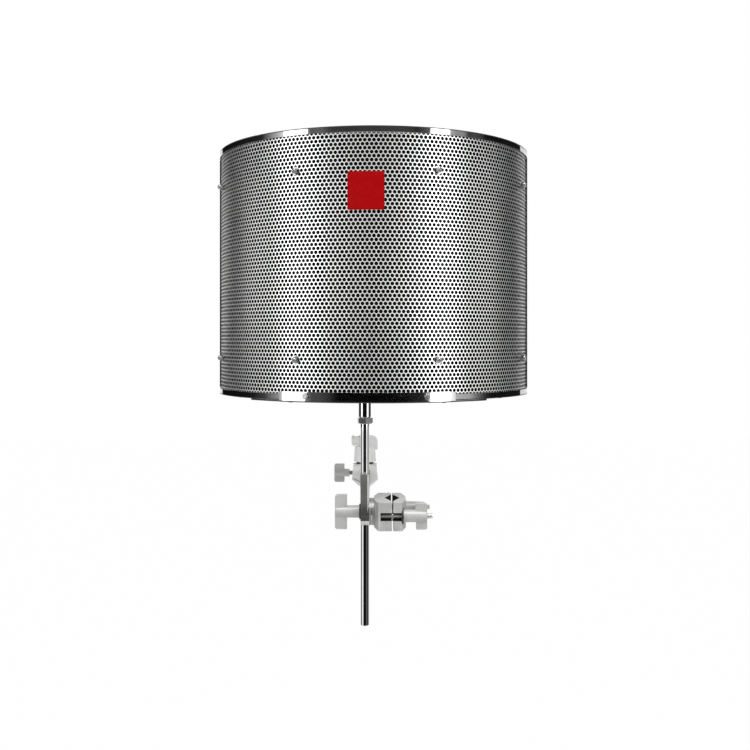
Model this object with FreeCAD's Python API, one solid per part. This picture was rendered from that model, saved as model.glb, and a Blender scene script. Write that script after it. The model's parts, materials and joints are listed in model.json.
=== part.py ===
# Microphone isolation shield: a curved, layered reflection panel on a chrome rod, an arm with a
# tilting rosette joint, a two-jaw stand clamp and a sliding microphone carriage.
# Millimetres, +Z up, +Y towards the microphone side. The origin is the middle of the stand
# clamp's bore, at the height of the tilt knob.
import FreeCAD, Part
import math
import os

os.makedirs("parts", exist_ok=True)

V = FreeCAD.Vector
UP = V(0, 0, 1)
fit = 0.05                      # radial clearance of a pin or rod that turns in its hole
seat = 0.3                      # gap between sheet parts that lie on each other

# ---- stand clamp ----
bore_half_width = 8.6           # half of the diamond bore across the split
bore_half_length = 25.0         # half of the diamond bore along the split
jaw_split = 1.5
fixed_jaw_width = 20.0
moving_jaw_width = 14.8
jaw_half_depth = 37.0
jaw_half_height = 15.8
jaw_corner_x = 4.8              # long corner chamfer, across
jaw_corner_y = 24.0             # long corner chamfer, along
jaw_bolt_d = 6.35
jaw_bolt_spacing = 59.0
jaw_slot_height = 9.0
jaw_slot_end = 7.2              # wall left of the bolt slot in the fixed jaw
washer_d = 18.1
washer_thick = 2.2
washer_seat_depth = 5.4         # washer face below the widest part of the moving jaw
knob_hub_d = 14.2
knob_hub_length = 14.2
knob_wing_length = 12.4
knob_wing_span = 29.4
knob_wing_thick = 7.0
bolt_ahead = 6.4                # bolt beyond its knob

# ---- tilt joint ----
rosette_d = 31.2
rosette_base = 1.9
rosette_teeth = 24
rosette_tooth_height = 0.8
rosette_gap = 0.2
pivot_bolt_d = 8.0
pivot_bolt_hold = 9.5           # length held in the fixed jaw
pivot_bolt_reach = 3.0          # length past the stem into the knob's blade
tilt_washer_d = 17.6
tilt_washer_thick = 1.5
tilt_stem_d = 14.5
tilt_stem_length = 14.2
tilt_wing_length = 13.9
tilt_wing_span = 39.4
tilt_wing_thick = 9.0

# ---- arm and rods ----
arm_thick = 10.0
arm_top = 44.6
arm_corner = 2.2                # chamfer up the front corner on the clamp's side
bar_bottom = 12.4
bar_height = 18.0
bar_length = 214.0
rod_d = 10.0
rod_stub_d = 8.0
lower_rod_end = 131.5
lower_stub_d = 6.0
lower_rod_flat = 14.7

# ---- shield panel ----
panel_radius = 200.0
panel_wall = 50.0
panel_half_span = 84.0
panel_bottom = 129.0
panel_height = 311.0
panel_turn = -2.4               # the panel is stored slightly turned on its rod
panel_shift = 2.6               # the panel's middle beside the rod
rod_setback = 28.0              # rod axis behind the front of the panel
skin_thick = 1.2
skin_fold = 12.0
tray_web = 2.0
tray_rim_height = 7.1
tray_rim_thick = 1.7
strip_lip = 12.0
strip_proud = 2.0
outer_wool = 20.0
inner_wool = 18.0
foil_thick = 0.6
tie_d = 4.0
tie_angles = (-69.9, -24.0, 24.0, 69.9)
tie_spacing_z = 216.6
tie_drop = 0.8                  # middle of the ties below the middle of the panel
tie_washer_d = 10.0
tie_washer_thick = 0.8
tie_nut_flats = 7.0
tie_nut_height = 3.2
tie_dome_d = 6.4
plate_screw_angles = (-55.0, -27.5, 0.0, 27.5, 55.0)
plate_screw_inset = 8.0
plate_screw_d = 3.0
plate_screw_head_d = 6.0
plate_screw_head = 1.3
badge_width = 41.6
badge_height = 43.4
badge_drop = 73.1                # badge middle below the top of the panel
badge_thick = 1.4

# ---- bracket under the panel ----
bracket_thick = 2.0
bracket_half_span = 47.0
bracket_inner = 158.0
strap_half_span = 30.0
strap_thick = 2.0
strap_top = 139.0
strap_screw_angle = 19.8
strap_screw_d = 3.0
strap_screw_head_d = 7.4
socket_d = 14.4
socket_length = 18.4
socket_roof = 4.0
lock_nut_flats = 16.8
lock_nut_height = 6.9

# ---- microphone carriage ----
carriage_y = 150.0
carriage_length = 30.0
carriage_width = 33.3
carriage_shift = -1.5           # the carriage body is a little off the bar's middle
carriage_top = 35.1
carriage_side_bottom = 17.5
carriage_tip = 5.4
carriage_split = 1.2
clamp_screw_z = 24.5
clamp_screw_d = 5.5
clamp_screw_gap = 3.6
clamp_boss_d = 10.4
clamp_boss_length = 6.5
clamp_wing_length = 13.1
clamp_wing_span = 23.5
clamp_wing_thick = 6.0
neck_foot_d = 31.0
neck_foot = 1.5
neck_groove = 3.0
neck_groove_d = 22.0
neck_low_d = 28.8
neck_top_d = 26.8
neck_top = 59.3
fork_axis_z = 66.5
fork_gap = 8.6
fork_left = 2.6
fork_right = 12.3
fork_depth = 13.0
fork_top = 73.0
fork_right_drop = 3.9
fork_right_round = 8.0
fork_pin_d = 5.0
fork_knob_d = 14.0
fork_knob_length = 10.4
stud_d = 9.5
stud_length = 14.0
stud_shoulder = 76.5

# ---- derived places ----
fixed_jaw_x = -jaw_split / 2 - fixed_jaw_width
moving_jaw_x = jaw_split / 2 + moving_jaw_width
rosette_stack = 2 * (rosette_base + rosette_tooth_height) + rosette_gap
rod_x = fixed_jaw_x - rosette_stack - arm_thick / 2
axis_radius = panel_radius - rod_setback
inner_radius = panel_radius - panel_wall
panel_top = panel_bottom + panel_height
washer_x = moving_jaw_x - washer_seat_depth
hub_x = washer_x + washer_thick
wing_x = hub_x + knob_hub_length
knob_end_x = wing_x + knob_wing_length
socket_bottom = panel_bottom - bracket_thick - socket_length
rod_top = panel_bottom - bracket_thick - socket_roof
mic_x = rod_x + carriage_shift
skin_low = panel_bottom + tray_web + seat
skin_high = panel_top - tray_web - seat
wool_low = skin_low + skin_thick + 3.5
wool_high = skin_high - skin_thick - 3.5
foil_outer = panel_radius - skin_thick - outer_wool - 2 * seat
gap_outer = foil_outer - foil_thick
gap_inner = inner_radius + skin_thick + seat + inner_wool


def block(x0, x1, y0, y1, z0, z1):
    return Part.makeBox(x1 - x0, y1 - y0, z1 - z0, V(x0, y0, z0))


def x_rod(diameter, x0, x1, y=0.0, z=0.0):
    return Part.makeCylinder(diameter / 2, x1 - x0, V(x0, y, z), V(1, 0, 0))


def z_rod(diameter, z0, z1, x=0.0, y=0.0):
    return Part.makeCylinder(diameter / 2, z1 - z0, V(x, y, z0), UP)


def prism_z(points, z0, z1):
    corners = [V(x, y, z0) for x, y in points]
    face = Part.Face(Part.makePolygon(corners + corners[:1]))
    return face.extrude(V(0, 0, z1 - z0))


def prism_y(points, y0, y1):
    corners = [V(x, y0, z) for x, z in points]
    face = Part.Face(Part.makePolygon(corners + corners[:1]))
    return face.extrude(V(0, y1 - y0, 0))


def turned_x(profile, y, z):
    """Solid turned about an X-wise axis from (x, radius) pairs; the ends close on the axis."""
    first = profile[0][0]
    last = profile[-1][0]
    corners = [V(first, 0, 0)] + [V(x, 0, r) for x, r in profile] + [V(last, 0, 0)]
    face = Part.Face(Part.makePolygon(corners + corners[:1]))
    body = face.revolve(V(0, 0, 0), V(1, 0, 0), 360)
    body.translate(V(0, y, z))
    return body


def hexagon(flats, z0, z1, start_angle=0.0):
    reach = flats / math.sqrt(3)
    angles = [math.radians(start_angle + 60 * i) for i in range(6)]
    return prism_z([(reach * math.cos(a), reach * math.sin(a)) for a in angles], z0, z1)


def save(name, shape):
    if isinstance(shape, list):
        shape = shape[0] if len(shape) == 1 else Part.makeCompound(shape)
    shape.exportStep("parts/" + name.replace(" ", "_") + ".step")


# ------------------------------------------------------------------ panel frame
def place_panel(shape):
    """From the panel's own frame (arc centre at 0,0) to its place on the rod."""
    placed = shape.copy()
    placed.translate(V(rod_x + panel_shift, axis_radius, 0))
    placed.rotate(V(rod_x, 0, 0), UP, panel_turn)
    return placed


def sector(r0, r1, half_span, z0, z1):
    corners = [V(r0, 0, z0), V(r1, 0, z0), V(r1, 0, z1), V(r0, 0, z1)]
    face = Part.Face(Part.makePolygon(corners + corners[:1]))
    body = face.revolve(V(0, 0, 0), UP, 2 * half_span)
    body.rotate(V(0, 0, 0), UP, -90 - half_span)
    return body


def radial(shape, angle, z):
    """Turn a shape built along +Z from the arc centre so that it points out at an angle."""
    turned = shape.copy()
    turned.rotate(V(0, 0, 0), V(1, 0, 0), 90)
    turned.rotate(V(0, 0, 0), UP, angle)
    turned.translate(V(0, 0, z))
    return turned


def tie_places():
    middle = panel_bottom + panel_height / 2 - tie_drop
    levels = (middle - tie_spacing_z / 2, middle + tie_spacing_z / 2)
    return [(angle, z) for z in levels for angle in tie_angles]


def at_ties(shape):
    return [place_panel(radial(shape, angle, z)) for angle, z in tie_places()]


def tie_holes(diameter):
    tool = z_rod(diameter, inner_radius - 15, panel_radius + 15)
    return Part.makeCompound([radial(tool, angle, z) for angle, z in tie_places()])


def make_skins():
    layer_span = panel_half_span - math.degrees((tray_web + seat) / panel_radius)
    holes = tie_holes(tie_d + 0.6)
    outer = sector(panel_radius - skin_thick, panel_radius, layer_span, skin_low, skin_high)
    fold_r = panel_radius - skin_fold
    for z0 in (skin_low, skin_high - skin_thick):
        fold = sector(fold_r, panel_radius - skin_thick, layer_span, z0, z0 + skin_thick)
        outer = outer.fuse(fold)
    outer = outer.cut(screw_holes(plate_screw_angles))
    save("outer perforated skin", place_panel(outer.cut(holes)))
    inner = sector(inner_radius, inner_radius + skin_thick, layer_span, skin_low, skin_high)
    save("inner perforated skin", place_panel(inner.cut(holes)))


def make_layers():
    layer_span = panel_half_span - math.degrees((tray_web + 2 * seat) / panel_radius)
    wool_out = panel_radius - skin_thick - seat
    holes = tie_holes(tie_d + 0.6)
    wool = sector(wool_out - outer_wool, wool_out, layer_span, wool_low, wool_high)
    save("outer absorber", place_panel(wool.cut(holes)))
    foil = sector(gap_outer, foil_outer, layer_span, wool_low - 2, wool_high + 2)
    save("foil membrane", place_panel(foil.cut(holes)))
    wool = sector(gap_inner - inner_wool, gap_inner, layer_span, wool_low, wool_high)
    save("inner absorber", place_panel(wool.cut(holes)))


def screw_holes(angles):
    tool = z_rod(plate_screw_d + 0.4, panel_bottom - 10, panel_top + 10)
    made = []
    for angle in angles:
        hole = tool.copy()
        hole.translate(V(0, plate_screw_inset - panel_radius, 0))
        hole.rotate(V(0, 0, 0), UP, angle)
        made.append(hole)
    return Part.makeCompound(made)


def make_tray(name, z_web, z_rim):
    """Crescent end plate with a rim folded over the skins all round."""
    low = min(z_web, z_rim)
    high = max(z_web, z_rim)
    r_out = panel_radius + seat + tray_rim_thick
    r_in = inner_radius - seat - tray_rim_thick
    end = math.degrees(tray_web / panel_radius)
    tray = sector(r_in, r_out, panel_half_span, low, high)
    inside_low = low + tray_web if z_web < z_rim else low
    inside_high = high if z_web < z_rim else high - tray_web
    hollow = sector(r_in + tray_rim_thick, r_out - tray_rim_thick, panel_half_span - end,
                    inside_low, inside_high)
    tray = tray.cut(hollow).cut(screw_holes(plate_screw_angles))
    save(name, place_panel(tray))


def make_edge_strips():
    """Upright channels that close the two ends of the wall between the end plates."""
    r_out = panel_radius + seat + strip_proud
    r_in = inner_radius - seat - strip_proud
    web = math.degrees(tray_web / panel_radius)
    lip = math.degrees(strip_lip / panel_radius)
    low = panel_bottom + tray_rim_height + seat
    high = panel_top - tray_rim_height - seat
    for name, side in (("left edge strip", -1), ("right edge strip", 1)):
        channel = sector(r_in, r_out, lip / 2, low, high)
        hollow = sector(r_in + strip_proud, r_out - strip_proud, lip / 2, low - 1, high + 1)
        hollow.rotate(V(0, 0, 0), UP, -side * web)
        channel = channel.cut(hollow)
        channel.rotate(V(0, 0, 0), UP, side * (panel_half_span - lip / 2))
        save(name, place_panel(channel))


def dome_nut():
    """Cap nut standing on z = 0, with a blind hole for the tie rod."""
    nut = hexagon(tie_nut_flats, 0, tie_nut_height, 30)
    dome = Part.makeSphere(tie_dome_d / 2, V(0, 0, 0), UP, 0, 90, 360)
    dome.translate(V(0, 0, tie_nut_height))
    nut = nut.fuse(dome)
    return nut.cut(z_rod(tie_d + 2 * fit, -1, tie_nut_height + 0.6))


def make_ties():
    """Eight tie rods through the wall, each with washers, cap nuts and a spacer tube."""
    out_face = panel_radius + 0.1
    in_face = inner_radius - 0.1
    nut_out = out_face + tie_washer_thick
    nut_in = in_face - tie_washer_thick
    rod = z_rod(tie_d, nut_in - tie_nut_height, nut_out + tie_nut_height)
    save("tie rods", at_ties(rod))
    washer = z_rod(tie_washer_d, 0, tie_washer_thick).cut(z_rod(tie_d + 0.4, -1, 2))
    outer = washer.copy()
    outer.translate(V(0, 0, out_face))
    save("outer tie washers", at_ties(outer))
    inner = washer.copy()
    inner.translate(V(0, 0, in_face - tie_washer_thick))
    save("inner tie washers", at_ties(inner))
    nut = dome_nut()
    outer = nut.copy()
    outer.translate(V(0, 0, nut_out))
    save("outer cap nuts", at_ties(outer))
    inner = nut.copy()
    inner.rotate(V(0, 0, 0), V(1, 0, 0), 180)
    inner.translate(V(0, 0, nut_in))
    save("inner cap nuts", at_ties(inner))
    tube = z_rod(tie_d + 4, gap_inner + 0.2, gap_outer - 0.2)
    tube = tube.cut(z_rod(tie_d + 2 * fit, gap_inner, gap_outer))
    save("spacer tubes", at_ties(tube))


def pan_screw(head_d, head, shank_d, shank):
    """Pan head screw, head up on z = 0, shank down."""
    body = z_rod(head_d, 0, head).fuse(z_rod(shank_d, -shank, 0))
    rim = [e for e in body.Edges if abs(e.BoundBox.ZMin - head) < 1e-6]
    return body.makeFillet(head * 0.6, rim)


def make_plate_screws():
    reach = tray_web + seat + skin_thick + 1.5
    screw = pan_screw(plate_screw_head_d, plate_screw_head, plate_screw_d, reach)
    made = []
    for angle in plate_screw_angles:
        one = screw.copy()
        one.translate(V(0, plate_screw_inset - panel_radius, panel_top))
        one.rotate(V(0, 0, 0), UP, angle)
        made.append(place_panel(one))
    save("top plate screws", made)
    made = []
    for angle in plate_screw_angles:
        under_bracket = abs(angle) < bracket_half_span
        drop = bracket_thick if under_bracket else 0
        if abs(angle) < 1:
            continue
        one = pan_screw(plate_screw_head_d, plate_screw_head, plate_screw_d, reach + drop)
        one.rotate(V(0, 0, 0), V(1, 0, 0), 180)
        one.translate(V(0, plate_screw_inset - panel_radius, panel_bottom - drop))
        one.rotate(V(0, 0, 0), UP, angle)
        made.append(place_panel(one))
    save("bottom plate screws", made)


def make_badge():
    half = math.degrees(badge_width / 2 / panel_radius)
    r0 = panel_radius + 0.1
    low = panel_top - badge_drop - badge_height / 2
    badge = sector(r0, r0 + badge_thick, half, low, low + badge_height)
    upright = [e for e in badge.Edges if abs(e.BoundBox.ZLength) < 1e-6
               and abs(e.Length - badge_thick) < 1e-6]
    save("badge plate", place_panel(badge.makeFillet(1.2, upright)))


def make_bracket():
    """Plate under the panel with its front edge turned up into a strap."""
    top = panel_bottom
    low = top - bracket_thick
    rim = panel_radius + seat + tray_rim_thick
    plate = sector(bracket_inner, rim, bracket_half_span, low, top)
    corners = [e for e in plate.Edges if e.BoundBox.ZLength > bracket_thick - 0.01
               and math.hypot(e.CenterOfMass.x, e.CenterOfMass.y) > rim - 1]
    plate = plate.makeFillet(16.0, corners)
    strap_r = rim + 0.1
    strap = sector(strap_r, strap_r + strap_thick, strap_half_span, low, strap_top)
    fold = sector(rim - 1, strap_r, strap_half_span, low, top - 0.1)
    bracket = plate.fuse(strap).fuse(fold)
    tool = z_rod(strap_screw_d + 0.3, rim - 5, rim + 10)
    screw_z = strap_mid()
    for side in (-1, 1):
        bracket = bracket.cut(radial(tool, side * strap_screw_angle, screw_z))
    bracket = bracket.cut(screw_holes([a for a in plate_screw_angles if abs(a) > 1]))
    save("mounting bracket", place_panel(bracket))
    head_r = strap_r + strap_thick + 0.1
    screw = pan_screw(strap_screw_head_d, 2.2, strap_screw_d, strap_thick + 0.1)
    screw.translate(V(0, 0, head_r))
    made = [place_panel(radial(screw, side * strap_screw_angle, screw_z)) for side in (-1, 1)]
    save("strap screws", made)


def strap_mid():
    return (panel_bottom - bracket_thick + strap_top) / 2 + 1.0


def make_socket():
    low = socket_bottom
    high = panel_bottom - bracket_thick
    socket = z_rod(socket_d, low, high, rod_x, 0)
    edge = [e for e in socket.Edges if abs(e.BoundBox.ZMax - low) < 1e-6]
    socket = socket.makeChamfer(0.8, edge)
    socket = socket.cut(z_rod(rod_d + 2 * fit, low - 1, rod_top + seat, rod_x, 0))
    save("rod socket", socket)
    nut = hexagon(lock_nut_flats, -lock_nut_height, 0, 30)
    cone = Part.makeCone(lock_nut_flats / 2 - 0.2, lock_nut_flats / 2 + 1.6, 1.6,
                         V(0, 0, -lock_nut_height), UP)
    barrel = z_rod(lock_nut_flats + 4, 1.6 - lock_nut_height, 1)
    nut = nut.common(cone.fuse(barrel))
    nut = nut.cut(z_rod(rod_d + 2 * fit, -20, 20))
    nut.translate(V(rod_x, 0, low - 0.1))
    save("lock nut", nut)


# ------------------------------------------------------------------ arm and rods
def make_arm():
    half = arm_thick / 2
    x0 = rod_x - half
    x1 = rod_x + half
    eye_r = rosette_d / 2
    eye = x_rod(rosette_d, x0, x1)
    corner = [(x1 - arm_corner, -eye_r), (x1, arm_corner - eye_r)]
    upright = prism_z([(x0, -eye_r)] + corner + [(x1, eye_r), (x0, eye_r)], 0, arm_top)
    bar = block(x0, x1, 0, bar_length, bar_bottom, bar_bottom + bar_height)
    arm = eye.fuse(upright).fuse(bar).removeSplitter()
    ends = [e for e in arm.Edges if e.BoundBox.XLength > arm_thick - 0.01
            and abs(e.CenterOfMass.y - bar_length) < 0.1]
    arm = arm.makeFillet(5.0, ends)
    inner = [e for e in arm.Edges if e.BoundBox.XLength > arm_thick - 0.01
             and e.BoundBox.YLength < 0.01 and abs(e.CenterOfMass.y - eye_r) < 0.1
             and abs(e.CenterOfMass.z - bar_bottom - bar_height) < 0.1]
    arm = arm.makeFillet(6.0, inner)
    tops = [e for e in arm.Edges if e.BoundBox.XLength > arm_thick - 0.01
            and abs(e.CenterOfMass.z - arm_top) < 0.1]
    arm = arm.makeFillet(1.5, tops)
    arm = arm.cut(x_rod(pivot_bolt_d + 2 * fit, x0 - 1, x1 + 1))
    arm = arm.cut(z_rod(rod_stub_d + 2 * fit, arm_top - 12, arm_top + 1, rod_x, 0))
    flat = block(x0 - 1, x1 + 1, -rod_d / 2 - 0.2, rod_d / 2 + 0.2, -eye_r - 1, -lower_rod_flat)
    arm = arm.cut(flat)
    stub_top = -pivot_bolt_d / 2 - 3.5
    arm = arm.cut(z_rod(lower_stub_d + 2 * fit, -eye_r - 1, stub_top + 0.5, rod_x, 0))
    save("tilt arm", arm)
    upper = z_rod(rod_d, arm_top, rod_top, rod_x, 0)
    upper = upper.fuse(z_rod(rod_stub_d, arm_top - 11.5, arm_top, rod_x, 0))
    save("upper rod", upper)
    lower = z_rod(rod_d, -lower_rod_end, -lower_rod_flat, rod_x, 0)
    foot = [e for e in lower.Edges if abs(e.BoundBox.ZMax + lower_rod_end) < 1e-6]
    lower = lower.makeChamfer(0.8, foot)
    lower = lower.fuse(z_rod(lower_stub_d, -lower_rod_flat, stub_top, rod_x, 0))
    save("lower rod", lower)


def rosette():
    """Toothed disc on x = 0, teeth towards +X, with the bolt hole."""
    inner_r = pivot_bolt_d / 2 + 2.2
    half_pitch = math.pi / rosette_teeth
    outer_r = rosette_d / 2 * math.cos(half_pitch)
    disc = x_rod(rosette_d, 0, rosette_base)
    teeth = []
    for i in range(rosette_teeth):
        tooth = tooth_wedge(inner_r, outer_r, half_pitch)
        tooth.rotate(V(0, 0, 0), V(1, 0, 0), i * 360 / rosette_teeth)
        teeth.append(tooth)
    disc = disc.multiFuse(teeth)
    return disc.cut(x_rod(pivot_bolt_d + 2 * fit, -1, 5))


def tooth_wedge(r0, r1, half_pitch):
    """Radial V tooth whose flanks and ridge all aim at the disc's middle."""
    points = []
    for r in (r0, r1):
        w = r * math.tan(half_pitch)
        h = rosette_tooth_height * r / r1
        points.append((V(rosette_base, -w, r), V(rosette_base, w, r), V(rosette_base + h, 0, r)))
    a, b = points
    loops = [a, b, (a[0], b[0], b[2], a[2]), (a[1], b[1], b[2], a[2]), (a[0], a[1], b[1], b[0])]
    faces = [Part.Face(Part.makePolygon(list(loop) + [loop[0]])) for loop in loops]
    wedge = Part.Solid(Part.makeShell(faces))
    if wedge.Volume < 0:
        wedge.reverse()
    return wedge


def make_rosettes():
    disc = rosette()
    arm_disc = disc.copy()
    arm_disc.translate(V(rod_x + arm_thick / 2, 0, 0))
    save("arm rosette", arm_disc)
    jaw_disc = disc.copy()
    jaw_disc.rotate(V(0, 0, 0), UP, 180)
    jaw_disc.rotate(V(0, 0, 0), V(1, 0, 0), 180 / rosette_teeth)
    jaw_disc.translate(V(fixed_jaw_x, 0, 0))
    save("clamp rosette", jaw_disc)
    bolt_end = rod_x - arm_thick / 2 - tilt_washer_thick - tilt_stem_length - pivot_bolt_reach
    save("pivot bolt", x_rod(pivot_bolt_d, bolt_end, fixed_jaw_x + pivot_bolt_hold))


# ------------------------------------------------------------------ knobs
def wing_knob(hub_d, hub, wing, span, thick, bore_d, bore_depth, corner):
    """Cast wing knob along +X from x = 0: round hub, then a flat blade in the XZ plane."""
    end = hub + wing
    profile = [(0, hub_d / 2), (hub, hub_d / 2 - 0.3), (end - 1, hub_d / 2 - 0.8)]
    profile.append((end, hub_d / 2 - 1.8))
    body = turned_x(profile, 0, 0)
    blade = block(hub, end, -thick / 2, thick / 2, -span / 2, span / 2)
    tips = [e for e in blade.Edges if e.BoundBox.YLength > thick - 0.01
            and abs(e.CenterOfMass.x - end) < 0.1]
    blade = blade.makeFillet(corner, tips)
    tips = [e for e in blade.Edges if e.BoundBox.YLength > thick - 0.01
            and abs(e.CenterOfMass.x - hub) < 0.1]
    blade = blade.makeFillet(0.8, tips)
    knob = body.fuse(blade)
    if bore_d > 0:
        knob = knob.cut(x_rod(bore_d, -1, bore_depth))
    return knob


def make_knobs():
    bore = jaw_bolt_d + 2 * fit
    knob = wing_knob(knob_hub_d, knob_hub_length, knob_wing_length, knob_wing_span,
                     knob_wing_thick, bore, knob_hub_length + knob_wing_length + 1, 2.6)
    front = knob.copy()
    front.translate(V(hub_x, -jaw_bolt_spacing / 2, 0))
    save("front jaw knob", front)
    rear = knob.copy()
    rear.rotate(V(0, 0, 0), V(1, 0, 0), 90)
    rear.translate(V(hub_x, jaw_bolt_spacing / 2, 0))
    save("rear jaw knob", rear)
    bore = pivot_bolt_d + 2 * fit
    tilt = wing_knob(tilt_stem_d, tilt_stem_length, tilt_wing_length, tilt_wing_span,
                     tilt_wing_thick, bore, tilt_stem_length + pivot_bolt_reach + 0.5, 3.4)
    tilt.rotate(V(0, 0, 0), UP, 180)
    washer_end = rod_x - arm_thick / 2 - tilt_washer_thick
    tilt.translate(V(washer_end, 0, 0))
    save("tilt knob", tilt)
    washer = x_rod(tilt_washer_d, washer_end, washer_end + tilt_washer_thick)
    washer = washer.cut(x_rod(pivot_bolt_d + 2 * fit, washer_end - 1, washer_end + 5))
    save("tilt washer", washer)


# ------------------------------------------------------------------ stand clamp
def jaw_outline(side, width):
    """Plan of one jaw: flat at the split, long chamfers towards the outer face."""
    face = side * jaw_split / 2
    outer = side * (jaw_split / 2 + width)
    corner = outer - side * jaw_corner_x
    y0 = jaw_half_depth
    y1 = jaw_half_depth - jaw_corner_y
    return [(face, -y0), (corner, -y0), (outer, -y1), (outer, y1), (corner, y0), (face, y0)]


def bore_diamond():
    tip = jaw_split / 2
    w = bore_half_width
    h = bore_half_length
    reach = jaw_half_height + 1
    return prism_z([(-w, 0), (-tip, -h), (tip, -h), (w, 0), (tip, h), (-tip, h)], -reach, reach)


def jaw(side, width):
    body = prism_z(jaw_outline(side, width), -jaw_half_height, jaw_half_height)
    upright = [e for e in body.Edges if e.BoundBox.ZLength > 2 * jaw_half_height - 0.01
               and abs(e.CenterOfMass.x) > jaw_split]
    return body.makeFillet(2.5, upright).cut(bore_diamond())


def bolt_slot(x0, x1, side):
    y = side * jaw_bolt_spacing / 2
    half = jaw_slot_height / 2
    outside = side * (jaw_half_depth + 1)
    slot = block(x0, x1, min(y, outside), max(y, outside), -half, half)
    return slot.fuse(x_rod(jaw_slot_height, x0, x1, y, 0))


def make_clamp():
    slot_x = fixed_jaw_x + jaw_slot_end
    fixed = jaw(-1, fixed_jaw_width)
    moving = jaw(1, moving_jaw_width)
    bolts = []
    washers = []
    for side in (-1, 1):
        y = side * jaw_bolt_spacing / 2
        fixed = fixed.cut(bolt_slot(slot_x, 0, side))
        fixed = fixed.cut(x_rod(jaw_bolt_d + 2 * fit, slot_x - 3.5, slot_x + 1, y, 0))
        moving = moving.cut(bolt_slot(0, moving_jaw_x + 1, side))
        moving = moving.cut(x_rod(washer_d + 1, washer_x, moving_jaw_x + 1, y, 0))
        bolts.append(x_rod(jaw_bolt_d, slot_x - 3.2, knob_end_x + bolt_ahead, y, 0))
        washer = x_rod(washer_d, washer_x, hub_x, y, 0)
        washers.append(washer.cut(x_rod(jaw_bolt_d + 0.4, washer_x - 1, hub_x + 1, y, 0)))
    pivot_hole_end = fixed_jaw_x + pivot_bolt_hold + 0.5
    fixed = fixed.cut(x_rod(pivot_bolt_d + 2 * fit, fixed_jaw_x - 1, pivot_hole_end))
    save("fixed jaw", fixed)
    save("moving jaw", moving)
    save("jaw bolts", bolts)
    save("jaw washers", washers)


# ------------------------------------------------------------------ microphone carriage
def make_carriage():
    half = carriage_width / 2
    y0 = carriage_y - carriage_length / 2
    y1 = carriage_y + carriage_length / 2
    left = mic_x - half
    right = mic_x + half
    outline = [(left, carriage_side_bottom), (left + 1.5, carriage_top), (right - 1.5, carriage_top)]
    outline += [(right, carriage_side_bottom), (mic_x + 3, carriage_tip), (mic_x - 3, carriage_tip)]
    body = prism_y(outline, y0, y1)
    body = body.fuse(z_rod(neck_foot_d, carriage_top, carriage_top + neck_foot, mic_x, carriage_y))
    groove_top = carriage_top + neck_foot + neck_groove
    post = z_rod(neck_groove_d - 8, carriage_top, groove_top + 8, mic_x, carriage_y)
    body = body.fuse(post)
    side = arm_thick / 2 + 0.1
    channel = block(rod_x - side, rod_x + side, y0 - 1, y1 + 1, bar_bottom - 0.1,
                    bar_bottom + bar_height + 0.1)
    body = body.cut(channel)
    body = body.cut(split_slot(left, y0, y1))
    shank = x_rod(clamp_screw_d + 2 * fit, left - 2, rod_x, carriage_y, clamp_screw_z)
    save("microphone carriage", body.cut(shank))


def split_slot(left, y0, y1):
    """Slanted saw cut from the left face in to the bar channel."""
    start = carriage_side_bottom + 1.6
    inner_x = rod_x - arm_thick / 2
    low = bar_bottom + 0.4
    rise = 2 * (start - low) / (inner_x - left)
    t = carriage_split
    corners = [(left - 2, start + rise), (inner_x, low), (inner_x, low + t)]
    corners.append((left - 2, start + rise + t))
    return prism_y(corners, y0 - 1, y1 + 1)


def make_clamp_screw():
    left = mic_x - carriage_width / 2
    boss_x = left - clamp_screw_gap
    screw = wing_knob(clamp_boss_d, clamp_boss_length, clamp_wing_length, clamp_wing_span,
                      clamp_wing_thick, 0, 0, 2.6)
    screw.rotate(V(0, 0, 0), UP, 180)
    screw.translate(V(boss_x, carriage_y, clamp_screw_z))
    tip = rod_x - arm_thick / 2 - 0.05
    screw = screw.fuse(x_rod(clamp_screw_d, boss_x - 1, tip, carriage_y, clamp_screw_z))
    save("carriage clamp screw", screw)


def make_neck():
    """Turning neck on the carriage post, topped by the two ears of the tilt fork."""
    low = carriage_top + neck_foot + neck_groove
    base = carriage_top + neck_foot + 0.1
    neck = Part.makeCone(neck_low_d / 2, neck_top_d / 2, neck_top - low, V(mic_x, carriage_y, low), UP)
    neck = neck.fuse(z_rod(neck_groove_d, base, low, mic_x, carriage_y))
    deep = low + 8 + 0.1
    neck = neck.cut(z_rod(neck_groove_d - 8 + 2 * fit, base - 1, deep, mic_x, carriage_y))
    y0 = carriage_y - fork_depth / 2
    y1 = carriage_y + fork_depth / 2
    inner = fork_gap / 2
    left_ear = block(mic_x - inner - fork_left, mic_x - inner, y0, y1, neck_top - 2, fork_top)
    tips = [e for e in left_ear.Edges if e.BoundBox.XLength > fork_left - 0.01
            and abs(e.CenterOfMass.z - fork_top) < 0.1]
    left_ear = left_ear.makeFillet(6.0, tips)
    x1 = mic_x + inner + fork_right
    right_ear = block(mic_x + inner, x1, y0, y1, neck_top - fork_right_drop, fork_top)
    tips = [e for e in right_ear.Edges if e.BoundBox.YLength > fork_depth - 0.01
            and abs(e.CenterOfMass.z - fork_top) < 0.1 and abs(e.CenterOfMass.x - x1) < 0.1]
    right_ear = right_ear.makeFillet(fork_right_round, tips)
    neck = neck.fuse(left_ear).fuse(right_ear)
    pin = fork_pin_d + 2 * fit
    neck = neck.cut(x_rod(pin, mic_x - 20, mic_x + inner + 8.5, carriage_y, fork_axis_z))
    save("swivel neck", neck)


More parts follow.
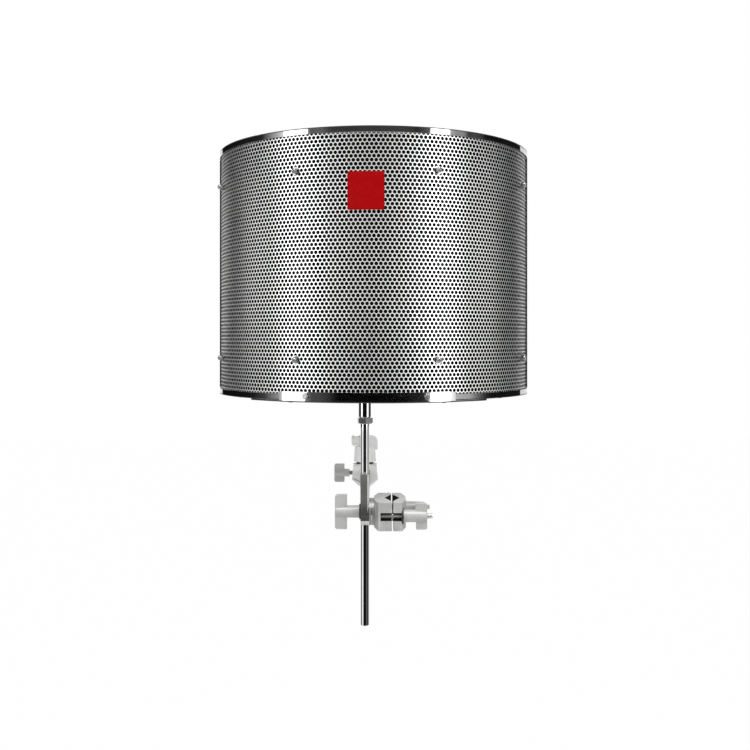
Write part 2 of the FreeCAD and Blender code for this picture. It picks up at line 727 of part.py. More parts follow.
def make_stud():
    half = fork_gap / 2 - 0.1
    eye_r = fork_axis_z - neck_top - 0.5
    eye = x_rod(2 * eye_r, mic_x - half, mic_x + half, carriage_y, fork_axis_z)
    stem = block(mic_x - half, mic_x + half, carriage_y - half, carriage_y + half,
                 fork_axis_z, stud_shoulder)
    stud = z_rod(stud_d, stud_shoulder, stud_shoulder + stud_length, mic_x, carriage_y)
    tip = [e for e in stud.Edges if abs(e.BoundBox.ZMin - stud_shoulder - stud_length) < 1e-6]
    stud = stud.makeChamfer(0.8, tip)
    body = eye.fuse(stem).fuse(stud)
    pin = x_rod(fork_pin_d + 2 * fit, mic_x - 20, mic_x + 20, carriage_y, fork_axis_z)
    save("microphone stud", body.cut(pin))


def make_fork_knob():
    start = mic_x - fork_gap / 2 - fork_left - 0.1
    r = fork_knob_d / 2
    end = start - fork_knob_length
    profile = [(end, r - 1.4), (end + 1.4, r), (end + 3.0, r), (end + 4.4, r - 1.2)]
    profile += [(start - 2.4, r - 1.2), (start - 1.0, r), (start, r)]
    knob = turned_x(profile, carriage_y, fork_axis_z)
    pin_end = mic_x + fork_gap / 2 + 8.0
    pin = x_rod(fork_pin_d, start - 1, pin_end, carriage_y, fork_axis_z)
    save("tilt thumb screw", knob.fuse(pin))


make_skins()
make_layers()
make_tray("bottom end plate", panel_bottom, panel_bottom + tray_rim_height)
make_tray("top end plate", panel_top, panel_top - tray_rim_height)
make_edge_strips()
make_ties()
make_plate_screws()
make_badge()
make_bracket()
make_socket()
make_arm()
make_rosettes()
make_knobs()
make_clamp()
make_carriage()
make_clamp_screw()
make_neck()
make_stud()
make_fork_knob()
print("parts written:", len(os.listdir("parts")))
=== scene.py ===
import json
import math
import bmesh
import bpy
from mathutils import Matrix, Vector, noise


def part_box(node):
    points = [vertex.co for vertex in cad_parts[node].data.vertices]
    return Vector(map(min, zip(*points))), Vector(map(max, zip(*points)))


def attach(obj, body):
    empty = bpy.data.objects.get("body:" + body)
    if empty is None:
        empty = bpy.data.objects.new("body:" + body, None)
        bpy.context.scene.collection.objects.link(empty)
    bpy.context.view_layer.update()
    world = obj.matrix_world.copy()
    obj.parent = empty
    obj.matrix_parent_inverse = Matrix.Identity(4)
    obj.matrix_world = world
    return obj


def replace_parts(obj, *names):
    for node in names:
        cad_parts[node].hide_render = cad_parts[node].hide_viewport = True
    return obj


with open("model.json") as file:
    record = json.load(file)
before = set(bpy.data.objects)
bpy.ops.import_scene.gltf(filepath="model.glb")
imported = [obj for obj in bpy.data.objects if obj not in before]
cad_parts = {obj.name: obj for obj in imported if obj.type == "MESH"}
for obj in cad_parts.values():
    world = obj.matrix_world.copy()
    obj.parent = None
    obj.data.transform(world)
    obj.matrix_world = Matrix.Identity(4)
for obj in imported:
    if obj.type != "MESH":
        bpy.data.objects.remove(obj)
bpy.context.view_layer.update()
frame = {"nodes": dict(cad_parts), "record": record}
nodes = frame["nodes"]
mm = 0.001
print("packed model loaded:", len(nodes), "nodes")


camera = {
    "place": (-0.0197, -1.1400, 0.1995),
    "lens": 47.33,
    "sensor": 36.0,
    "shiftY": -0.0482,
    "nearest": 0.02,
}
studio = {
    "floorZ": -1.30,
    "floorSize": 14.0,
    "floorShade": 0.9,
    "floorWhite": 0.99,     # how much of the plain white is seen in place of the lit floor
    "worldSoft": 0.50,      # level of the white surroundings on matt surfaces
    "leftBox": (-58.5, 2.3, 0.80, 0.78, 1.84, 13.0),    # azimuth, distance, height, width, tall, watts
    "rightBox": (49.0, 2.3, 0.72, 0.60, 1.67, 13.8),
    "sideAim": 0.15,        # each side box looks at a point this far below its own height
    "topBox": ((0.0, -0.80, 2.1), 1.6, 1.0, 38.0),      # place, width, tall, watts
    "topAim": (0, 0.02, 0.2),
    "cardRadius": 2.9,
    "cardSteps": 48,
}
cardRings = {       # low and high edge, first and last azimuth, then the shade at each azimuth
    "upperCards": (0.88, 3.2, -148.0, 136.0, {
        -142: 0.006, -91: 0.02, -87: 0.04, -81: 0.30, -73: 0.75, -69: 1.2, -66: 1.2, -48: 0.4,
        -46: 0.14, -44: 0.17, -38: 0.19, -33: 0.08, -28: 0.06, 20: 0.07, 27: 0.06, 31: 0.038,
        36: 0.088, 40: 0.12, 42: 0.40, 46: 0.70, 57: 0.70, 62: 0.45, 68: 0.42, 72: 0.07,
        77: 0.10, 84: 0.075, 88: 0.015, 95: 0.008, 110: 0.012, 142: 0.015}),
    "panelCards": (0.08, 0.88, -136.0, 136.0, {
        -142: 0.004, -114: 0.01, -106: 0.6, -98: 1.3, -84: 0.9, -72: 0.3, -62: 0.5, -52: 2.0,
        -44: 1.6, -34: 1.4, -18: 1.3, 2: 0.52, 16: 1.4, 30: 1.6, 38: 1.8, 56: 2.0,
        64: 0.4, 74: 0.7, 86: 1.4, 95: 1.1, 103: 0.02, 142: 0.01}),
    "rimCards": (-0.16, 0.08, -148.0, 136.0, {
        -142: 0.006, -107: 0.01, -104: 0.008, -97: 0.018, -85: 0.076, -77: 0.32, -71: 0.50,
        -66: 0.9, -47: 0.3, -45: 0.11, -39: 0.09, -32: 0.045, -26: 0.004, 22: 0.004, 27: 0.02,
        33: 0.03, 36: 0.05, 39: 0.45, 43: 0.6, 48: 1.5, 58: 1.5, 60: 0.85, 66: 0.75,
        73: 0.65, 78: 0.35, 82: 0.19, 88: 0.04, 95: 0.008, 142: 0.015}),
    "upperRodCards": (-0.55, -0.16, -136.0, 136.0, {
        -142: 0.35, -75: 0.32, -70: 0.4, -69: 1.9, -49: 1.9, -48: 0.2, -20: 0.012, 20: 0.02,
        40: 0.15, 41: 1.9, 57: 1.9, 58: 0.55, 75: 0.55, 110: 0.45, 142: 0.45}),
    "lowerRodCards": (-1.28, -0.55, -136.0, 136.0, {
        -142: 0.35, -90: 0.30, -70: 0.4, -69: 1.9, -49: 1.9, -48: 0.2, -25: 0.004, 25: 0.004, 40: 0.20,
        50: 0.15, 65: 0.015, 90: 0.07, 100: 0.42, 142: 0.45}),
}


def makeCamera():
    data = bpy.data.cameras.new("studioCamera")
    data.lens = camera["lens"]
    data.sensor_width = camera["sensor"]
    data.shift_y = camera["shiftY"]
    data.clip_start = camera["nearest"]
    obj = bpy.data.objects.new("studioCamera", data)
    obj.location = camera["place"]
    obj.rotation_euler = (math.radians(90), 0, 0)
    bpy.context.scene.collection.objects.link(obj)
    bpy.context.scene.camera = obj


def areaLamp(name, place, target, width, tall, watts):
    data = bpy.data.lights.new(name, "AREA")
    data.shape = "RECTANGLE"
    data.size = width
    data.size_y = tall
    data.energy = watts
    obj = bpy.data.objects.new(name, data)
    obj.location = place
    aim = Vector(target) - Vector(place)
    obj.rotation_euler = aim.to_track_quat("-Z", "Y").to_euler()
    obj.visible_camera = False
    bpy.context.scene.collection.objects.link(obj)


def makeLamps():
    for name in ("leftBox", "rightBox"):
        azimuth, distance, height, width, tall, watts = studio[name]
        a = math.radians(azimuth)
        place = (distance * math.sin(a), -distance * math.cos(a), height)
        areaLamp(name, place, (0, 0, height - studio["sideAim"]), width, tall, watts)
    place, width, tall, watts = studio["topBox"]
    areaLamp("topBox", place, studio["topAim"], width, tall, watts)


def newMaterial(name):
    material = bpy.data.materials.new(name)
    material.use_nodes = True
    tree = material.node_tree
    tree.nodes.clear()
    return material, tree


def seenRays(tree):
    path = tree.nodes.new("ShaderNodeLightPath")
    glossy = tree.nodes.new("ShaderNodeMath")
    glossy.operation = "MAXIMUM"
    tree.links.new(path.outputs["Is Camera Ray"], glossy.inputs[0])
    tree.links.new(path.outputs["Is Glossy Ray"], glossy.inputs[1])
    clear = tree.nodes.new("ShaderNodeMath")
    clear.operation = "MAXIMUM"
    tree.links.new(glossy.outputs[0], clear.inputs[0])
    tree.links.new(path.outputs["Is Transmission Ray"], clear.inputs[1])
    return clear.outputs[0]


def makeWorld():
    world = bpy.data.worlds.new("whiteSurround")
    world.use_nodes = True
    tree = world.node_tree
    tree.nodes.clear()
    soft = tree.nodes.new("ShaderNodeBackground")
    soft.inputs["Strength"].default_value = studio["worldSoft"]
    seen = tree.nodes.new("ShaderNodeBackground")
    seen.inputs["Strength"].default_value = 1.0
    for background in (soft, seen):
        background.inputs["Color"].default_value = (1, 1, 1, 1)
    mix = tree.nodes.new("ShaderNodeMixShader")
    out = tree.nodes.new("ShaderNodeOutputWorld")
    tree.links.new(seenRays(tree), mix.inputs[0])
    tree.links.new(soft.outputs[0], mix.inputs[1])
    tree.links.new(seen.outputs[0], mix.inputs[2])
    tree.links.new(mix.outputs[0], out.inputs["Surface"])
    bpy.context.scene.world = world


def stageObject(name, bm, material):
    mesh = bpy.data.meshes.new(name)
    bm.to_mesh(mesh)
    bm.free()
    mesh.materials.append(material)
    obj = bpy.data.objects.new(name, mesh)
    bpy.context.scene.collection.objects.link(obj)
    return obj


def makeFloor():
    material, tree = newMaterial("palePaper")
    matt = tree.nodes.new("ShaderNodeBsdfDiffuse")
    shade = studio["floorShade"]
    matt.inputs["Color"].default_value = (shade, shade, shade, 1)
    lift = tree.nodes.new("ShaderNodeEmission")
    lift.inputs["Color"].default_value = (1, 1, 1, 1)
    scale = tree.nodes.new("ShaderNodeMath")
    scale.operation = "MULTIPLY"
    scale.inputs[1].default_value = studio["floorWhite"]
    mix = tree.nodes.new("ShaderNodeMixShader")
    out = tree.nodes.new("ShaderNodeOutputMaterial")
    tree.links.new(seenRays(tree), scale.inputs[0])
    tree.links.new(scale.outputs[0], mix.inputs[0])
    tree.links.new(matt.outputs[0], mix.inputs[1])
    tree.links.new(lift.outputs[0], mix.inputs[2])
    tree.links.new(mix.outputs[0], out.inputs["Surface"])
    bm = bmesh.new()
    bmesh.ops.create_grid(bm, x_segments=1, y_segments=1, size=studio["floorSize"])
    bmesh.ops.translate(bm, verts=bm.verts, vec=(0, 0, studio["floorZ"]))
    stageObject("floor", bm, material)


def makeCards(name):
    low, high, first, last, shades = cardRings[name]
    material, tree = newMaterial(name)
    coords = tree.nodes.new("ShaderNodeTexCoord")
    facing = tree.nodes.new("ShaderNodeMapping")
    facing.inputs["Rotation"].default_value = (0, 0, math.radians(90))
    around = tree.nodes.new("ShaderNodeTexGradient")
    around.gradient_type = "RADIAL"
    ramp = tree.nodes.new("ShaderNodeValToRGB")
    card = tree.nodes.new("ShaderNodeEmission")
    out = tree.nodes.new("ShaderNodeOutputMaterial")
    stops = ramp.color_ramp.elements
    while len(stops) > 1:
        stops.remove(stops[0])
    for count, (azimuth, shade) in enumerate(shades.items()):
        place = 0.5 + azimuth / 360
        stop = stops.new(place) if count else stops[0]
        stop.position = place
        stop.color = (shade, shade, shade, 1)
    tree.links.new(coords.outputs["Object"], facing.inputs["Vector"])
    tree.links.new(facing.outputs["Vector"], around.inputs["Vector"])
    tree.links.new(around.outputs["Fac"], ramp.inputs["Fac"])
    tree.links.new(ramp.outputs["Color"], card.inputs["Color"])
    tree.links.new(card.outputs[0], out.inputs["Surface"])
    bm = bmesh.new()
    start = Matrix.Rotation(math.radians(first), 3, "Z") @ Vector((0, -studio["cardRadius"], 0))
    a = bm.verts.new((start.x, start.y, low))
    b = bm.verts.new((start.x, start.y, high))
    edge = bm.edges.new((a, b))
    bmesh.ops.spin(bm, geom=[edge], cent=(0, 0, 0), axis=(0, 0, 1),
                   angle=math.radians(last - first), steps=studio["cardSteps"])
    cards = stageObject(name, bm, material)
    cards.visible_camera = False
    cards.visible_diffuse = False
    cards.visible_shadow = False


makeCamera()
makeLamps()
makeWorld()
makeFloor()
for ring in cardRings:
    makeCards(ring)
print("studio ready")


def newGroup(name, inputs, outputs):
    group = bpy.data.node_groups.new(name, "ShaderNodeTree")
    for label, value in inputs.items():
        socket = group.interface.new_socket(label, in_out="INPUT", socket_type="NodeSocketFloat")
        socket.default_value = value
    for label, kind in outputs.items():
        group.interface.new_socket(label, in_out="OUTPUT", socket_type=kind)
    return group, group.nodes.new("NodeGroupInput"), group.nodes.new("NodeGroupOutput")


def mathNode(tree, operation, a, b):
    node = tree.nodes.new("ShaderNodeMath")
    node.operation = operation
    for i, value in enumerate((a, b)):
        if isinstance(value, (int, float)):
            node.inputs[i].default_value = value
        else:
            tree.links.new(value, node.inputs[i])
    return node.outputs[0]


def noiseNode(tree, vector, scale, detail=3.0, roughness=0.55):
    node = tree.nodes.new("ShaderNodeTexNoise")
    node.inputs["Detail"].default_value = detail
    node.inputs["Roughness"].default_value = roughness
    if isinstance(scale, (int, float)):
        node.inputs["Scale"].default_value = scale
    else:
        tree.links.new(scale, node.inputs["Scale"])
    tree.links.new(vector, node.inputs["Vector"])
    return node.outputs["Fac"]


def stretched(tree, factors):
    coords = tree.nodes.new("ShaderNodeTexCoord")
    mapping = tree.nodes.new("ShaderNodeMapping")
    mapping.inputs["Scale"].default_value = factors
    tree.links.new(coords.outputs["Object"], mapping.inputs["Vector"])
    return mapping.outputs["Vector"]


noiseLow, noiseHigh = 0.3, 0.7      # nearly all of a noise texture's values lie between these


def spread(tree, value, low, high):
    node = tree.nodes.new("ShaderNodeMapRange")
    node.inputs["From Min"].default_value = noiseLow
    node.inputs["From Max"].default_value = noiseHigh
    for label, end in (("To Min", low), ("To Max", high)):
        if isinstance(end, (int, float)):
            node.inputs[label].default_value = end
        else:
            tree.links.new(end, node.inputs[label])
    tree.links.new(value, node.inputs["Value"])
    return node.outputs[0]


def castGrainGroup():
    inputs = {"Grain Size": 900.0, "Rough Low": 0.42, "Rough High": 0.62}
    outputs = {"Height": "NodeSocketFloat", "Roughness": "NodeSocketFloat", "Speck": "NodeSocketFloat"}
    group, start, end = newGroup("castGrain", inputs, outputs)
    coords = stretched(group, (1, 1, 1))
    fine = noiseNode(group, coords, start.outputs["Grain Size"], 4.0, 0.62)
    slow = noiseNode(group, coords, 90.0, 2.0)
    height = mathNode(group, "ADD", fine, mathNode(group, "MULTIPLY", slow, 0.35))
    group.links.new(height, end.inputs["Height"])
    rough = spread(group, slow, start.outputs["Rough Low"], start.outputs["Rough High"])
    group.links.new(rough, end.inputs["Roughness"])
    both = mathNode(group, "ADD", mathNode(group, "MULTIPLY", fine, 0.7),
                    mathNode(group, "MULTIPLY", slow, 0.3))
    group.links.new(spread(group, both, 0.0, 1.0), end.inputs["Speck"])
    return group


def brushedGroup():
    inputs = {"Rough Low": 0.22, "Rough High": 0.34}
    outputs = {"Height": "NodeSocketFloat", "Roughness": "NodeSocketFloat", "Streak": "NodeSocketFloat"}
    group, start, end = newGroup("brushedStreaks", inputs, outputs)
    streak = noiseNode(group, stretched(group, (60, 60, 2600)), 1.0, 3.0, 0.6)
    smudge = noiseNode(group, stretched(group, (1, 1, 1)), 22.0, 3.0)
    mixed = mathNode(group, "ADD", mathNode(group, "MULTIPLY", streak, 0.6),
                     mathNode(group, "MULTIPLY", smudge, 0.4))
    rough = spread(group, mixed, start.outputs["Rough Low"], start.outputs["Rough High"])
    group.links.new(rough, end.inputs["Roughness"])
    group.links.new(streak, end.inputs["Height"])
    group.links.new(spread(group, mixed, 0.0, 1.0), end.inputs["Streak"])
    return group


def handlingGroup():
    inputs = {"Rough Low": 0.05, "Rough High": 0.12}
    outputs = {"Height": "NodeSocketFloat", "Roughness": "NodeSocketFloat", "Smudge": "NodeSocketFloat"}
    group, start, end = newGroup("handlingMarks", inputs, outputs)
    scratch = noiseNode(group, stretched(group, (1400, 1400, 90)), 1.0, 2.0, 0.7)
    smudge = noiseNode(group, stretched(group, (1, 1, 1)), 35.0, 4.0, 0.6)
    mixed = mathNode(group, "ADD", mathNode(group, "MULTIPLY", scratch, 0.3),
                     mathNode(group, "MULTIPLY", smudge, 0.7))
    rough = spread(group, mixed, start.outputs["Rough Low"], start.outputs["Rough High"])
    group.links.new(rough, end.inputs["Roughness"])
    group.links.new(scratch, end.inputs["Height"])
    group.links.new(spread(group, smudge, 0.0, 1.0), end.inputs["Smudge"])
    return group


castGrain = castGrainGroup()
brushedStreaks = brushedGroup()
handlingMarks = handlingGroup()


def groupNode(tree, group, values):
    node = tree.nodes.new("ShaderNodeGroup")
    node.node_tree = group
    for label, value in values.items():
        node.inputs[label].default_value = value
    return node


def twoTone(tree, mask, first, second):
    mix = tree.nodes.new("ShaderNodeMix")
    mix.data_type = "RGBA"
    mix.inputs["A"].default_value = (*first, 1)
    mix.inputs["B"].default_value = (*second, 1)
    tree.links.new(mask, mix.inputs["Factor"])
    return mix.outputs["Result"]


def finish(name, group, groupValues, mask, first, second, metal, bump, distance, sockets=None):
    material, tree = newMaterial(name)
    shader = tree.nodes.new("ShaderNodeBsdfPrincipled")
    out = tree.nodes.new("ShaderNodeOutputMaterial")
    effect = groupNode(tree, group, groupValues)
    tree.links.new(twoTone(tree, effect.outputs[mask], first, second), shader.inputs["Base Color"])
    tree.links.new(effect.outputs["Roughness"], shader.inputs["Roughness"])
    bumpNode = tree.nodes.new("ShaderNodeBump")
    bumpNode.inputs["Strength"].default_value = bump
    bumpNode.inputs["Distance"].default_value = distance
    tree.links.new(effect.outputs["Height"], bumpNode.inputs["Height"])
    tree.links.new(bumpNode.outputs["Normal"], shader.inputs["Normal"])
    shader.inputs["Metallic"].default_value = metal
    for label, value in (sockets or {}).items():
        shader.inputs[label].default_value = value
    tree.links.new(shader.outputs[0], out.inputs["Surface"])
    return material


# Paints shade into a material: its base colour darkens towards the bottom of its object.
def paintFootShade(material, low, high, dark):
    tree = material.node_tree
    shader = next(n for n in tree.nodes if n.type == "BSDF_PRINCIPLED")
    colour = shader.inputs["Base Color"].links[0].from_socket
    split = tree.nodes.new("ShaderNodeSeparateXYZ")
    tree.links.new(stretched(tree, (1, 1, 1)), split.inputs[0])
    rise = tree.nodes.new("ShaderNodeMapRange")
    for label, value in (("From Min", low), ("From Max", high), ("To Min", dark), ("To Max", 1.0)):
        rise.inputs[label].default_value = value
    tree.links.new(split.outputs["Z"], rise.inputs["Value"])
    mix = tree.nodes.new("ShaderNodeMix")
    mix.data_type = "RGBA"
    mix.blend_type = "MULTIPLY"
    mix.inputs["Factor"].default_value = 1.0
    tree.links.new(colour, mix.inputs["A"])
    tree.links.new(rise.outputs[0], mix.inputs["B"])
    tree.links.new(mix.outputs["Result"], shader.inputs["Base Color"])


perforatedAluminium = finish(
    "perforatedAluminium", brushedStreaks, {"Rough Low": 0.31, "Rough High": 0.41}, "Streak",
    (0.93, 0.93, 0.92), (0.99, 0.99, 0.98), metal=0.86, bump=0.10, distance=0.0002)
# Painted shade: the hole walls are near black for the shade inside the holes.
paintedShadeHoleWall = finish(
    "paintedShadeHoleWall", brushedStreaks, {"Rough Low": 0.5, "Rough High": 0.7}, "Streak",
    (0.004, 0.004, 0.004), (0.012, 0.012, 0.012), metal=0.0, bump=0.1, distance=0.0002,
    sockets={"Specular IOR Level": 0.08})
polishedTrim = finish(
    "polishedTrim", handlingMarks, {"Rough Low": 0.03, "Rough High": 0.07}, "Smudge",
    (0.50, 0.50, 0.50), (0.58, 0.58, 0.575), metal=1.0, bump=0.003, distance=0.00004)
rodChrome = finish(
    "rodChrome", handlingMarks, {"Rough Low": 0.015, "Rough High": 0.05}, "Smudge",
    (0.60, 0.60, 0.60), (0.68, 0.68, 0.67), metal=1.0, bump=0.012, distance=0.0001)
nutChrome = finish(
    "nutChrome", handlingMarks, {"Rough Low": 0.05, "Rough High": 0.12}, "Smudge",
    (0.50, 0.50, 0.49), (0.66, 0.66, 0.65), metal=1.0, bump=0.01, distance=0.0001)
boltSteel = finish(
    "boltSteel", handlingMarks, {"Rough Low": 0.16, "Rough High": 0.30}, "Smudge",
    (0.60, 0.60, 0.59), (0.78, 0.78, 0.77), metal=0.85, bump=0.02, distance=0.0001)
tieHardware = finish(
    "tieHardware", handlingMarks, {"Rough Low": 0.10, "Rough High": 0.20}, "Smudge",
    (0.24, 0.24, 0.235), (0.36, 0.36, 0.355), metal=1.0, bump=0.06, distance=0.0001)
blackenedSteel = finish(
    "blackenedSteel", handlingMarks, {"Rough Low": 0.26, "Rough High": 0.40}, "Smudge",
    (0.12, 0.12, 0.12), (0.24, 0.24, 0.235), metal=0.9, bump=0.06, distance=0.0001)
armCasting = finish(
    "armCasting", castGrain, {"Grain Size": 700.0, "Rough Low": 0.30, "Rough High": 0.44}, "Speck",
    (0.15, 0.15, 0.15), (0.26, 0.26, 0.255), metal=0.6, bump=0.30, distance=0.0004)
paintFootShade(armCasting, -6 * mm, 13 * mm, 0.30)      # painted shade: the arm darkens towards its foot
castAlloy = finish(
    "castAlloy", castGrain, {"Grain Size": 950.0, "Rough Low": 0.42, "Rough High": 0.60}, "Speck",
    (0.40, 0.40, 0.39), (0.64, 0.64, 0.63), metal=0.7, bump=0.60, distance=0.0007)
# Painted light: a lit copy of the cast alloy, brightened for the mic mount parts in the panel's shade.
paintedLightAlloy = finish(
    "paintedLightAlloy", castGrain, {"Grain Size": 1100.0, "Rough Low": 0.38, "Rough High": 0.55}, "Speck",
    (0.94, 0.94, 0.93), (1.0, 1.0, 0.99), metal=0.0, bump=0.30, distance=0.0003)
# Painted shade: near black, for the jaws' split, bore and slot and the arm's shaded side face.
paintedShadeCast = finish(
    "paintedShadeCast", castGrain, {"Grain Size": 700.0, "Rough Low": 0.7, "Rough High": 0.85}, "Speck",
    (0.010, 0.010, 0.010), (0.030, 0.030, 0.030), metal=0.0, bump=0.35, distance=0.0004)
knobAlloy = finish(
    "knobAlloy", castGrain, {"Grain Size": 1300.0, "Rough Low": 0.36, "Rough High": 0.48}, "Speck",
    (0.43, 0.43, 0.425), (0.54, 0.54, 0.535), metal=0.12, bump=0.12, distance=0.0002)
# The black washer's own colour, also used as painted shade in the neck's groove and along the rims' turn,
# and as a painted dark reflection on the edge strips' step.
blackWasherAndPaintedShade = finish(
    "blackWasherAndPaintedShade", castGrain, {"Grain Size": 1500.0, "Rough Low": 0.45, "Rough High": 0.6}, "Speck",
    (0.010, 0.010, 0.010), (0.022, 0.022, 0.022), metal=0.0, bump=0.15, distance=0.0002)
badgeRed = finish(
    "badgeRed", castGrain, {"Grain Size": 500.0, "Rough Low": 0.22, "Rough High": 0.30}, "Speck",
    (0.30, 0.001, 0.002), (0.37, 0.002, 0.003), metal=0.0, bump=0.05, distance=0.0001,
    sockets={"Specular IOR Level": 0.06})
# Painted highlight: a lighter copy of the cast alloy for the arm's chamfered corners and underside.
paintedHighlightEdge = finish(
    "paintedHighlightEdge", castGrain, {"Grain Size": 900.0, "Rough Low": 0.28, "Rough High": 0.42}, "Speck",
    (0.60, 0.60, 0.59), (0.82, 0.82, 0.81), metal=0.35, bump=0.25, distance=0.0003)
toothSteel = finish(
    "toothSteel", castGrain, {"Grain Size": 1200.0, "Rough Low": 0.34, "Rough High": 0.48}, "Speck",
    (0.26, 0.26, 0.255), (0.38, 0.38, 0.375), metal=0.55, bump=0.25, distance=0.0003)
foilFinish = finish(
    "foilFinish", brushedStreaks, {"Rough Low": 0.22, "Rough High": 0.36}, "Streak",
    (0.70, 0.70, 0.70), (0.84, 0.84, 0.83), metal=1.0, bump=0.3, distance=0.0006)
darkWool = finish(
    "darkWool", castGrain, {"Grain Size": 1400.0, "Rough Low": 0.9, "Rough High": 1.0}, "Speck",
    (0.003, 0.003, 0.003), (0.010, 0.010, 0.010), metal=0.0, bump=0.9, distance=0.0008,
    sockets={"Specular IOR Level": 0.1})
print("finishes ready")

finishOfSlot = {
    "perforated aluminium": perforatedAluminium,
    "polished trim": polishedTrim,
    "tie hardware": tieHardware,
    "dark wool": darkWool,
    "foil": foilFinish,
    "badge red": badgeRed,
    "rod chrome": rodChrome,
    "dark arm": armCasting,
    "cast alloy": castAlloy,
    "knob alloy": knobAlloy,
    "blackened steel": blackenedSteel,
    "black washer": blackWasherAndPaintedShade,
}
slotOfNode = {entry["node"]: entry["material_slot"] for entry in frame["record"]["subparts"]}
bodyOfNode = {}
for bodyName, members in frame["record"]["behaviour"]["bodies"].items():
    for member in members:
        bodyOfNode[member] = bodyName


finishOfNode = {
    "arm_rosette": toothSteel,
    "clamp_rosette": toothSteel,
    "top_plate_screws": blackenedSteel,
    "bottom_plate_screws": blackenedSteel,
}


def dressNodes():
    for name, obj in nodes.items():
        material = finishOfNode.get(name) or finishOfSlot[slotOfNode[name]]
        obj.data.materials.clear()
        obj.data.materials.append(material)
        for polygon in obj.data.polygons:
            polygon.material_index = 0


dressNodes()


def addPiece(name, bm, body, slot, sharpAngle=35.0):
    mesh = bpy.data.meshes.new(name)
    bm.to_mesh(mesh)
    bm.free()
    mesh.materials.append(finishOfSlot[slot])
    mesh.polygons.foreach_set("use_smooth", [True] * len(mesh.polygons))
    mesh.set_sharp_from_angle(angle=math.radians(sharpAngle))
    obj = bpy.data.objects.new(name, mesh)
    bpy.context.scene.collection.objects.link(obj)
    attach(obj, body)
    return obj


def bakeModifiers(obj):
    graph = bpy.context.evaluated_depsgraph_get()
    graph.update()
    mesh = bpy.data.meshes.new_from_object(obj.evaluated_get(graph))
    obj.modifiers.clear()
    obj.data = mesh


softEdge = {
    "weld": 0.5e-6,
    "flatAngle": 0.6,       # degrees between faces that count as one plane
    "bevelAngle": 28.0,     # an edge sharper than this gets its bevel
    "creaseAngle": 50.0,
}


def nodeMiddle(node):
    low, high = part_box(node)
    return (low[0] + high[0]) / 2, (low[1] + high[1]) / 2


def softenedNode(node, width, segments, spun):
    bm = bmesh.new()
    bm.from_mesh(nodes[node].data)
    if spun:
        bmesh.ops.rotate(bm, verts=bm.verts, cent=(*nodeMiddle(node), 0),
                         matrix=Matrix.Rotation(math.radians(spun), 3, "Z"))
    bmesh.ops.remove_doubles(bm, verts=bm.verts, dist=softEdge["weld"])
    bmesh.ops.dissolve_limit(bm, angle_limit=math.radians(softEdge["flatAngle"]), verts=bm.verts,
                             edges=bm.edges, use_dissolve_boundaries=False)
    limit = math.radians(softEdge["bevelAngle"])
    sharp = [e for e in bm.edges if len(e.link_faces) == 2 and e.calc_face_angle(0) > limit]
    bmesh.ops.bevel(bm, geom=sharp, offset=width, offset_type="OFFSET", segments=segments,
                    profile=0.5, affect="EDGES", material=-1, clamp_overlap=True)
    obj = addPiece(node + "_dressed", bm, bodyOfNode[node], slotOfNode[node], softEdge["creaseAngle"])
    weighted = obj.modifiers.new("weighted", "WEIGHTED_NORMAL")
    weighted.keep_sharp = True
    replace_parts(obj, node)
    return obj


panel = {
    "turn": -2.4,                  # degrees about the rod
    "rodX": -31.35 * mm,
    "shift": 2.6 * mm,             # the panel's middle beside the rod
    "axisRadius": 172.0 * mm,
    "halfSpan": 83.3,
    "zLow": 131.3 * mm,
    "zHigh": 437.7 * mm,
}
sheet = {
    "outerRadius": 200.0 * mm,
    "innerRadius": 150.0 * mm,
    "thick": 1.2 * mm,
    "pitch": 5.2 * mm,
    "hole": 4.4 * mm,
    "edge": 0.7 * mm,          # the punched edge's depth once its burr is rolled in
    "holeSides": 12,
    "firstColumn": 0.25,       # of the pitch, from the sheet's end to the first holes
    "parts": 3,
    "weld": 1e-5,
    "cutSlack": 1e-6,
    "sharpAngle": 60.0,
    "crispAngle": 40.0,
}
hexTurn = math.radians(60)     # from one corner of a hexagon to the next
turn = math.radians(panel["turn"])
turned = Matrix.Rotation(turn, 3, "Z")
panelAxis = Vector((panel["rodX"], 0, 0)) + turned @ Vector((panel["shift"], panel["axisRadius"], 0))


def holeTile(pitch, rowPitch):
    bm = bmesh.new()
    bmesh.ops.create_circle(bm, segments=sheet["holeSides"], radius=sheet["hole"] / 2)
    rim = bmesh.ops.extrude_edge_only(bm, edges=bm.edges[:])
    for vert in (v for v in rim["geom"] if isinstance(v, bmesh.types.BMVert)):
        angle = math.atan2(vert.co.y, vert.co.x) % hexTurn
        away = min(angle, hexTurn - angle)
        reach = pitch / 2 / math.cos(away)
        vert.co = vert.co.normalized() * reach
    stretch = rowPitch / (pitch * math.cos(hexTurn / 2))
    bmesh.ops.scale(bm, vec=(1, stretch, 1), verts=bm.verts)
    second = bmesh.ops.duplicate(bm, geom=bm.verts[:] + bm.edges[:] + bm.faces[:])
    moved = [v for v in second["geom"] if isinstance(v, bmesh.types.BMVert)]
    bmesh.ops.translate(bm, verts=moved, vec=(pitch / 2, rowPitch, 0))
    bmesh.ops.remove_doubles(bm, verts=bm.verts, dist=sheet["weld"])
    return bm


